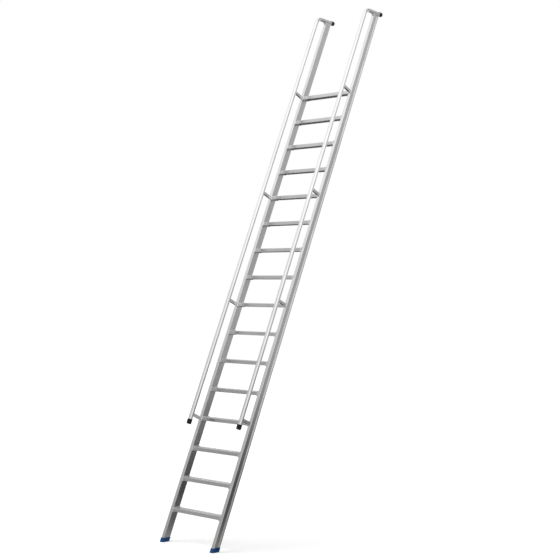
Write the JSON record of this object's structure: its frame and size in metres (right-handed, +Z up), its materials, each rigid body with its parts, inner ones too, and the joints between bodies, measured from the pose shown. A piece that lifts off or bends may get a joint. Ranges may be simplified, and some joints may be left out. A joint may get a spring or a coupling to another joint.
{
  "type": "leaning step ladder",
  "caption": "Leaning aluminium step ladder: flat ribbed treads between hollow stiles, bent tube handrails on struts along both sides, black tube caps and blue shoes.",
  "frame": {"origin": "on the floor, midway between the two soles", "axes": "+Z up, +Y towards the wall that the ladder leans on, +X to the climber's right"},
  "size_m": [0.646, 2.1498, 5.033],
  "materials": {
    "stile_aluminium": "mill-finish extrusion with fine drawing lines along the stile",
    "tread_aluminium": "mill-finish extrusion, ribbed top lightly worn",
    "cast_bracket": "die-cast, slightly grainy",
    "rail_tube": "drawn tube, satin and brighter than the stiles",
    "black_plastic": "moulded, finely textured",
    "blue_shoe": "moulded, matt with a soft sheen",
    "fastener_steel": "zinc-plated"
  },
  "bodies": {
    "root": {"stile_left": "stile_aluminium", "stile_right": "stile_aluminium", "tread_01": "tread_aluminium", "tread_02": "tread_aluminium", "tread_03": "tread_aluminium", "tread_04": "tread_aluminium", "tread_05": "tread_aluminium", "tread_06": "tread_aluminium", "tread_07": "tread_aluminium", "tread_08": "tread_aluminium", "tread_09": "tread_aluminium", "tread_10": "tread_aluminium", "tread_11": "tread_aluminium", "tread_12": "tread_aluminium", "tread_13": "tread_aluminium", "tread_14": "tread_aluminium", "tread_15": "tread_aluminium", "tread_16": "tread_aluminium", "tread_end_brackets_left": "cast_bracket", "tread_end_brackets_right": "cast_bracket", "top_saddle_left": "cast_bracket", "top_saddle_right": "cast_bracket", "handrail_left": "rail_tube", "handrail_right": "rail_tube", "handrail_strut_left_1": "rail_tube", "handrail_strut_left_2": "rail_tube", "handrail_strut_left_3": "rail_tube", "handrail_strut_left_4": "rail_tube", "handrail_strut_right_1": "rail_tube", "handrail_strut_right_2": "rail_tube", "handrail_strut_right_3": "rail_tube", "handrail_strut_right_4": "rail_tube", "strut_plugs": "rail_tube", "handrail_lower_cap_left": "black_plastic", "handrail_lower_cap_right": "black_plastic", "handrail_upper_cap_left": "black_plastic", "handrail_upper_cap_right": "black_plastic", "foot_left": "blue_shoe", "foot_right": "blue_shoe", "bracket_screws_left": "fastener_steel", "bracket_screws_right": "fastener_steel", "tread_rivets": "fastener_steel", "strut_washers": "fastener_steel", "strut_bolts": "fastener_steel", "saddle_rivets": "fastener_steel", "foot_rivets": "fastener_steel"}
  },
  "joints": []
}
